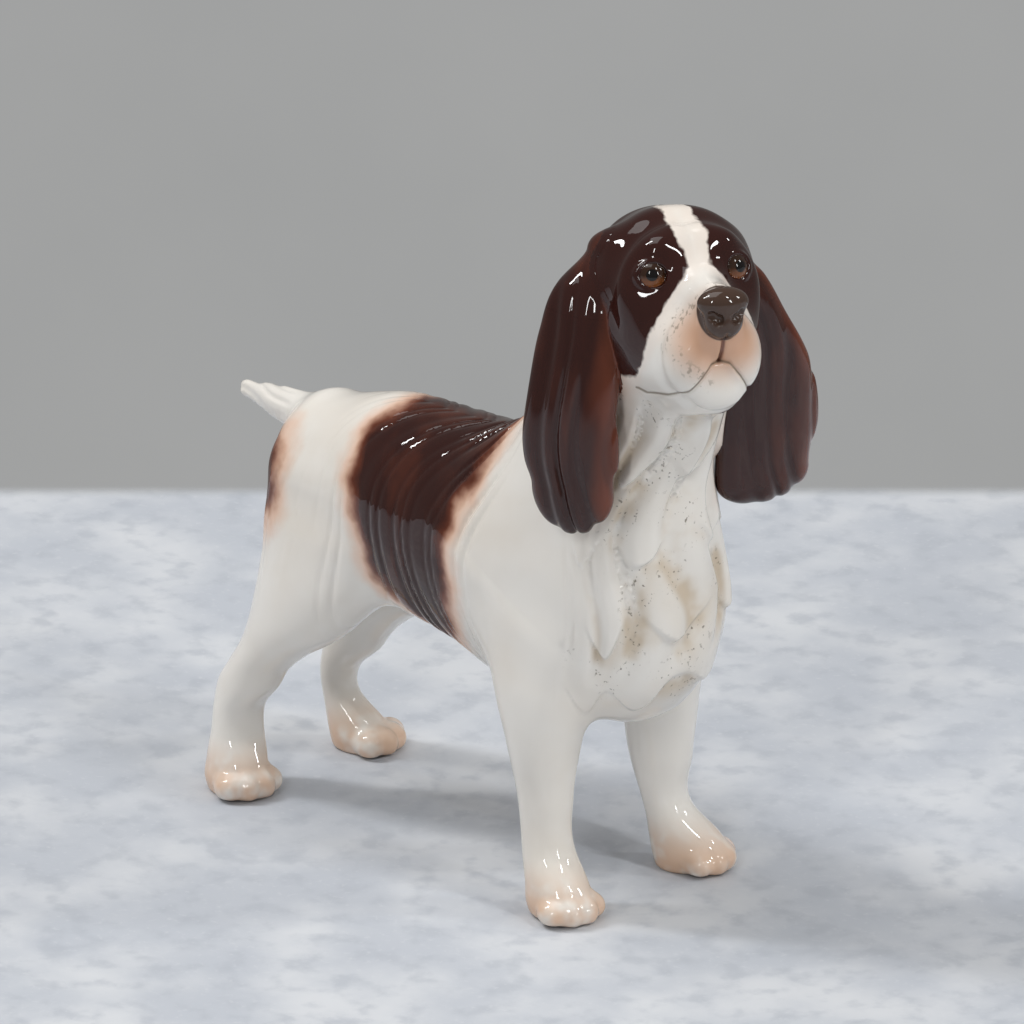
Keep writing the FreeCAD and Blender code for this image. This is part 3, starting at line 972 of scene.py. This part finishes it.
MARGIN = 1.5  # of the boxes past a joint
TAIL_CUT = (TAIL_SEAM_X, 0, 0)
TRUNK_CUTS = [
    (HEAD_SEAM, HEAD_SEAM_NORMAL, everywhere),
    *level_cut(FORE_SEAM, -Z, lambda c: c.x > 5 and c.z < 40),
    *level_cut(HIND_SEAM, -Z, lambda c: c.x < 5 and c.z < 45),
    (TAIL_CUT, -X, lambda c: c.z > 58 and c.x < 0),
]
HEAD_CUTS = [(HEAD_SEAM, -HEAD_SEAM_NORMAL, everywhere)]
TAIL_CUTS = [(TAIL_CUT, X, everywhere)]
LEG_SPAN = 22  # ahead of and behind the centre line of a leg
LEG_SIDES = {-1: (-25, -1.5), 1: (1.5, 25)}
EAR_SPAN = 13
EAR_FLOOR = 66

place_piece("trunk_skin", skin, (-47, -23, 29), (58.5, 23, 101), BODY_STEP, TRUNK_CUTS)
place_piece("head_skin", skin, (28, -22, 78), (81, 23, 129), HEAD_STEP, HEAD_CUTS)
place_piece("tail_skin", skin, (-60, -7, 57), (TAIL_SEAM_X + 1, 7, 74), LEG_STEP, TAIL_CUTS)
for leg_name, (_, stations, side, seam) in legs.items():
    low_x = min(row[1] for row in stations) - LEG_SPAN
    high_x = max(row[1] for row in stations) + LEG_SPAN
    near, far = LEG_SIDES[side]
    high = (high_x, far, seam + MARGIN)
    place_piece(leg_name + "_skin", skin, (low_x, near, -2), high, LEG_STEP, level_cut(seam))
for ear_name, flap_field in flaps.items():
    stations = EAR_LEFT if ear_name == "ear_left" else EAR_RIGHT
    centre = np.array([[row[1], row[2]] for row in stations])
    seam = EAR_SEAM[ear_name]
    low = (*(centre.min(0) - EAR_SPAN), EAR_FLOOR)
    high = (*(centre.max(0) + EAR_SPAN), seam + MARGIN)
    place_piece(ear_name + "_skin", flap_field, low, high, EAR_STEP, level_cut(seam))

# ---- Studio ------------------------------------------------------------------------------------

VIEW_AZIMUTH = math.radians(46.7)
VIEW_ELEVATION = math.radians(20.6)
VIEW_DISTANCE = 3.0
VIEW_LENS = 622.0
VIEW_TARGET = np.array([10.9, 0.0, 60.9]) * MM + SHIFT

back = np.array([
    math.sin(VIEW_AZIMUTH) * math.cos(VIEW_ELEVATION),
    -math.cos(VIEW_AZIMUTH) * math.cos(VIEW_ELEVATION),
    math.sin(VIEW_ELEVATION),
])
right = np.array([math.cos(VIEW_AZIMUTH), math.sin(VIEW_AZIMUTH), 0.0])
upward = np.cross(back, right)


def aim(thing, place, target):
    thing.location = place
    thing.rotation_euler = (Vector(target) - Vector(place)).to_track_quat("-Z", "Y").to_euler()
    bpy.context.scene.collection.objects.link(thing)


camera = bpy.data.cameras.new("camera")
camera.lens = VIEW_LENS
camera.clip_end = 50.0
camera_object = bpy.data.objects.new("camera", camera)
aim(camera_object, VIEW_TARGET + back * VIEW_DISTANCE, VIEW_TARGET)
bpy.context.scene.camera = camera_object
bpy.context.scene.view_settings.view_transform = "Standard"


def lamp(name, toward, distance, width, height, power):
    """Soft box seen from the dog in a direction given as right, up and back of the view."""
    direction = right * toward[0] + upward * toward[1] + back * toward[2]
    direction = direction / np.linalg.norm(direction)
    data = bpy.data.lights.new(name, "AREA")
    data.shape = "RECTANGLE"
    data.size, data.size_y = width, height
    data.energy = power
    made = bpy.data.objects.new(name, data)
    aim(made, VIEW_TARGET + direction * distance, VIEW_TARGET)


lamp("window_left", (-0.66, 0.74, 0.12), 1.6, 0.12, 0.30, 4.6)
lamp("window_right", (-0.50, 0.86, 0.18), 1.6, 0.12, 0.30, 4.6)
lamp("window_front", (0.46, 0.62, 0.62), 1.6, 0.11, 0.28, 3.6)
lamp("window_near", (-0.30, 0.22, 0.93), 1.6, 0.10, 0.50, 4.0)
lamp("window_low", (0.66, 0.14, 0.70), 1.6, 0.10, 0.50, 4.0)
lamp("window_side", (0.82, 0.52, 0.22), 1.6, 0.10, 0.32, 3.4)
lamp("ceiling", (-0.30, 1.0, 0.25), 1.8, 1.3, 1.3, 10.0)

ROOM = (0.845, 0.83, 0.81)
ROOM_LIGHT = 0.34
ROOM_SHINE = 0.26  # what the glaze mirrors of the room
WALL = (0.38, 0.382, 0.38)
WALL_DARK = (0.33, 0.335, 0.335)
TABLE = (0.50, 0.53, 0.58)
TABLE_PALE = (0.64, 0.66, 0.69)
TABLE_GREY = (0.42, 0.45, 0.50)
TABLE_BEHIND = 0.176  # from the dog to the table's far edge
TABLE_FADE = 0.007  # soft far edge
TABLE_FRONT = 2.0
TABLE_HALF_WIDTH = 2.0

ahead = np.array([math.sin(VIEW_AZIMUTH), -math.cos(VIEW_AZIMUTH), 0.0])
middle = np.array([VIEW_TARGET[0], VIEW_TARGET[1], 0.0])


def room():
    """Even soft light all round; the eye sees a plaster wall instead."""
    world = bpy.data.worlds.new("room")
    world.use_nodes = True
    tree = world.node_tree
    light = tree.nodes["Background"]
    light.inputs[0].default_value = (*ROOM, 1)
    wall = tree.nodes.new("ShaderNodeBackground")
    place = tree.nodes.new("ShaderNodeTexCoord")
    blotches = tree.nodes.new("ShaderNodeTexNoise")
    blotches.inputs["Scale"].default_value = 55.0
    blotches.inputs["Detail"].default_value = 6.0
    tone = tree.nodes.new("ShaderNodeMix")
    tone.data_type = "RGBA"
    tone.inputs[6].default_value = (*WALL, 1)
    tone.inputs[7].default_value = (*WALL_DARK, 1)
    choice = tree.nodes.new("ShaderNodeMixShader")
    seen = tree.nodes.new("ShaderNodeLightPath")
    level = tree.nodes.new("ShaderNodeMapRange")
    level.inputs["To Min"].default_value = ROOM_SHINE
    level.inputs["To Max"].default_value = ROOM_LIGHT
    tree.links.new(seen.outputs["Is Diffuse Ray"], level.inputs["Value"])
    tree.links.new(level.outputs["Result"], light.inputs[1])
    tree.links.new(place.outputs["Generated"], blotches.inputs["Vector"])
    tree.links.new(blotches.outputs["Fac"], tone.inputs[0])
    tree.links.new(tone.outputs[2], wall.inputs[0])
    tree.links.new(seen.outputs["Is Camera Ray"], choice.inputs[0])
    tree.links.new(light.outputs[0], choice.inputs[1])
    tree.links.new(wall.outputs[0], choice.inputs[2])
    tree.links.new(choice.outputs[0], tree.nodes["World Output"].inputs["Surface"])
    bpy.context.scene.world = world


def table_material():
    n = Nodes("stone_table")
    n.surface.inputs["Roughness"].default_value = 0.6
    stone = n.mix(n.ramp(n.noise(0.035, 6.0), 0.38, 0.68), TABLE, TABLE_PALE)
    grey = n.math("MULTIPLY", n.ramp(n.noise(0.16, 6.0), 0.46, 0.70), 0.60)
    pale = n.math("MULTIPLY", n.ramp(n.noise(0.7, 4.0), 0.55, 0.75), 0.35)
    stone = n.mix(pale, n.mix(grey, stone, TABLE_GREY), TABLE_PALE)
    n.wire(stone, n.surface.inputs["Base Color"])
    depth = n.node("ShaderNodeVectorMath", operation="DOT_PRODUCT")
    n.wire(n.node("ShaderNodeNewGeometry").outputs["Position"], depth.inputs[0])
    depth.inputs[1].default_value = ahead
    far = float(ahead @ middle) - TABLE_BEHIND
    n.wire(n.ramp(depth.outputs["Value"], far, far + TABLE_FADE), n.surface.inputs["Alpha"])
    return n.material


def table():
    """Level table top square to the view."""
    corners = []
    for out, side in ((TABLE_FRONT, -1), (TABLE_FRONT, 1), (-TABLE_BEHIND, 1), (-TABLE_BEHIND, -1)):
        corners.append(tuple(middle + ahead * out + right * side * TABLE_HALF_WIDTH))
    data = bpy.data.meshes.new("table")
    data.from_pydata(corners, [], [(0, 1, 2, 3)])
    data.materials.append(table_material())
    made = bpy.data.objects.new("table", data)
    bpy.context.scene.collection.objects.link(made)


room()
table()
